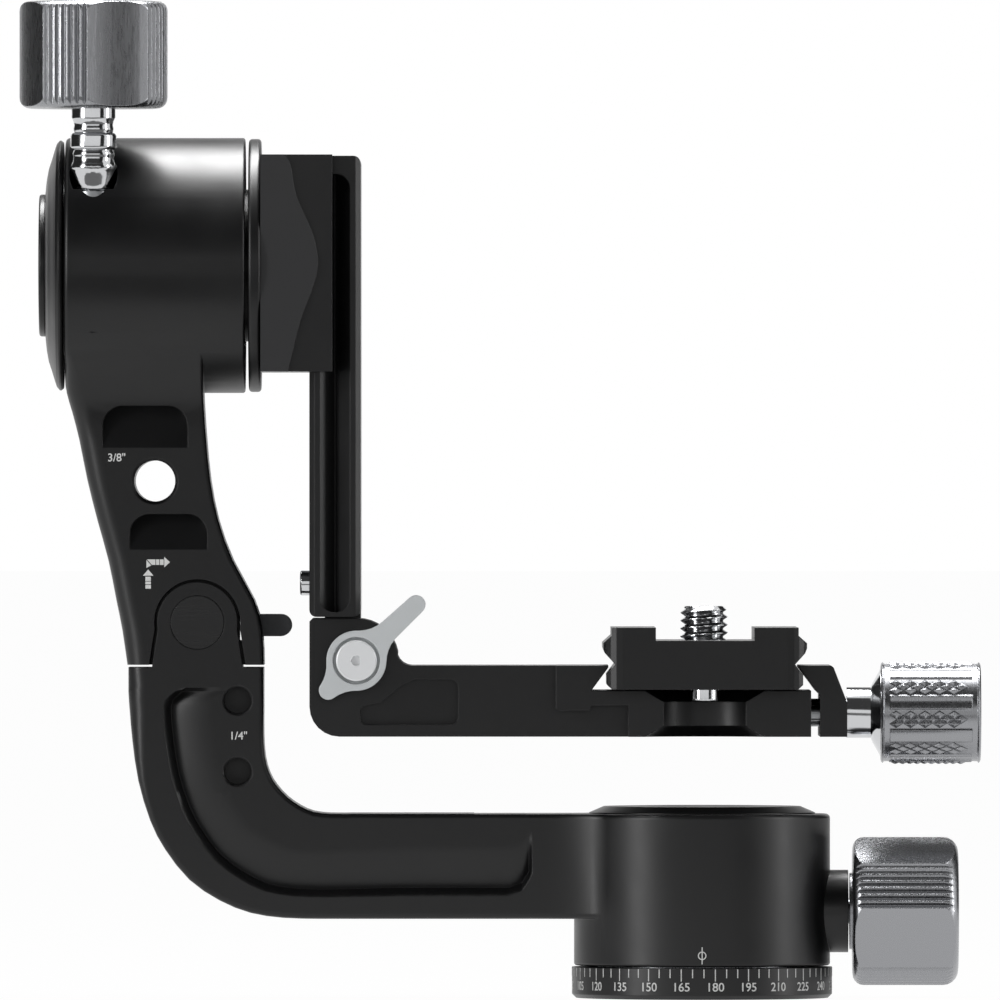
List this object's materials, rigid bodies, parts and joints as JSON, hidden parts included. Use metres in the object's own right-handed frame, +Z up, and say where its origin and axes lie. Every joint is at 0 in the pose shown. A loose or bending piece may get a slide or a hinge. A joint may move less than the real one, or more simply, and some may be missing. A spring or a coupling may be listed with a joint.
{
  "type": "gimbal tripod head",
  "caption": "Folding L-arm gimbal tripod head with panning base, tilt housing, sliding height rail, fold-up platform clamp and quick-release plate with a camera screw.",
  "frame": {"origin": "centre of the pan base's underside, at the mouth of the tripod thread", "axes": "+Z up along the pan axis, +X from the arms towards the pan lock knob, +Y away from the front face"},
  "size_m": [0.1919, 0.0756, 0.1989],
  "materials": {
    "black_anodised": "satin black anodised",
    "pin_black": "satin black anodised",
    "brushed_alloy": "brushed",
    "chrome_plate": "polished",
    "lever_paint": "satin light grey",
    "latch_coat": "textured dark grey",
    "steel_hardware": "machined",
    "bearing_bronze": "machined",
    "brake_nylon": "matte"
  },
  "bodies": {
    "tripod_base": {"pan_base": "black_anodised", "pan_spindle": "brushed_alloy", "tripod_bush": "steel_hardware", "base_screws": "steel_hardware", "spindle_retainer": "steel_hardware", "retainer_screw": "steel_hardware"},
    "pan_head": {"lower_arm": "black_anodised", "lower_arm_post": "black_anodised", "pan_bushes": "bearing_bronze", "thrust_washer": "bearing_bronze", "pan_top_cap": "black_anodised", "fold_pin": "pin_black", "pan_lock_collar": "steel_hardware"},
    "pan_brake": {"pan_brake_pad": "brake_nylon"},
    "pan_lock": {"pan_lock_stud": "steel_hardware", "pan_lock_knob": "brushed_alloy"},
    "upper": {"upper_arm": "black_anodised", "tilt_bearings": "steel_hardware", "tilt_cover": "black_anodised", "tilt_axis_cap": "black_anodised", "lower_brake_shoe": "steel_hardware", "latch_pivot_pin": "steel_hardware"},
    "latch": {"fold_latch": "latch_coat"},
    "tilt_brake": {"upper_brake_shoe": "steel_hardware"},
    "tilt_lock": {"tilt_lock_stem": "chrome_plate", "tilt_lock_knob": "brushed_alloy"},
    "swing": {"tilt_shaft": "black_anodised", "shaft_retainer": "steel_hardware", "shaft_bolt": "steel_hardware", "swing_clamp_body": "black_anodised", "swing_clamp_bolts": "steel_hardware", "swing_guide_pins": "steel_hardware"},
    "swing_jaw": {"swing_clamp_jaw": "black_anodised"},
    "swing_knob": {"swing_clamp_screw": "steel_hardware", "swing_clamp_knob": "brushed_alloy"},
    "rail": {"height_rail": "black_anodised", "rail_stop_screw": "chrome_plate"},
    "platform": {"platform_arm": "black_anodised", "fold_bolt": "steel_hardware", "fold_nut": "steel_hardware", "clamp_guide_pins": "steel_hardware"},
    "lever": {"platform_lever": "lever_paint", "lever_screw": "chrome_plate"},
    "platform_jaw": {"clamp_jaw": "black_anodised"},
    "platform_knob": {"clamp_screw": "steel_hardware", "clamp_knob_neck": "chrome_plate", "clamp_knob": "brushed_alloy"},
    "plate": {"quick_plate": "black_anodised", "plate_stop_pins": "chrome_plate"},
    "camera_bolt": {"camera_screw": "chrome_plate"}
  },
  "joints": [
    {"name": "pan_turn", "type": "hinge", "parent": "tripod_base", "child": "pan_head", "pos_m": [0, 0, 0.02], "axis": [0, 0, 1], "continuous": true},
    {"name": "pan_lock_turn", "type": "hinge", "parent": "pan_brake", "child": "pan_lock", "pos_m": [0.04, 0, 0.0173], "axis": [1, 0, 0], "range_deg": [0, 361]},
    {"name": "pan_brake_slide", "type": "slide", "parent": "pan_head", "child": "pan_brake", "axis": [1, 0, 0], "range_m": [0, 0.0008]},
    {"name": "arm_lift", "type": "slide", "parent": "pan_head", "child": "upper", "axis": [0, 0, 1], "range_m": [0, 0.0215]},
    {"name": "latch_turn", "type": "hinge", "parent": "upper", "child": "latch", "pos_m": [-0.0902, 0, 0.0764], "axis": [0, -1, 0], "range_deg": [0, 20], "stiffness_Nm_per_rad": 0.02},
    {"name": "tilt_brake_slide", "type": "slide", "parent": "upper", "child": "tilt_brake", "axis": [0, 0, 1], "range_m": [0, 0.0012]},
    {"name": "tilt_lock_turn", "type": "hinge", "parent": "tilt_brake", "child": "tilt_lock", "pos_m": [-0.1214, -0.018, 0.18], "axis": [0, 0, 1], "range_deg": [0, 541]},
    {"name": "tilt_turn", "type": "hinge", "parent": "upper", "child": "swing", "pos_m": [-0.1, 0, 0.1464], "axis": [1, 0, 0], "continuous": true},
    {"name": "swing_jaw_slide", "type": "slide", "parent": "swing", "child": "swing_jaw", "axis": [0, 1, 0], "range_m": [0, 0.002]},
    {"name": "swing_knob_turn", "type": "hinge", "parent": "swing_jaw", "child": "swing_knob", "pos_m": [-0.08325, 0.03, 0.1467], "axis": [0, 1, 0], "range_deg": [0, 901]},
    {"name": "rail_slide", "type": "slide", "parent": "swing", "child": "rail", "axis": [0, 0, 1], "range_m": [0, 0.038]},
    {"name": "platform_fold", "type": "hinge", "parent": "rail", "child": "platform", "pos_m": [-0.069, 0, 0.0675], "axis": [0, -1, 0], "range_deg": [0, 76]},
    {"name": "lever_turn", "type": "hinge", "parent": "platform", "child": "lever", "pos_m": [-0.069, 0, 0.0675], "axis": [0, -1, 0], "range_deg": [-30, 100]},
    {"name": "platform_jaw_slide", "type": "slide", "parent": "platform", "child": "platform_jaw", "axis": [1, 0, 0], "range_m": [0, 0.0025]},
    {"name": "platform_knob_turn", "type": "hinge", "parent": "platform_jaw", "child": "platform_knob", "pos_m": [0.04, 0, 0.057], "axis": [1, 0, 0], "range_deg": [0, 901]},
    {"name": "plate_slide", "type": "slide", "parent": "platform", "child": "plate", "axis": [0, 1, 0], "range_m": [-0.007, 0.007]},
    {"name": "camera_screw_turn", "type": "hinge", "parent": "plate", "child": "camera_bolt", "pos_m": [0.0004, 0, 0.07], "axis": [0, 0, 1], "continuous": true}
  ],
  "couplings": [
    {"joint": "pan_lock_turn", "follows": "pan_brake_slide", "rad_per_m": 7854},
    {"joint": "tilt_lock_turn", "follows": "tilt_brake_slide", "rad_per_m": 7854},
    {"joint": "swing_knob_turn", "follows": "swing_jaw_slide", "rad_per_m": 7854},
    {"joint": "platform_knob_turn", "follows": "platform_jaw_slide", "rad_per_m": 6283.2}
  ]
}
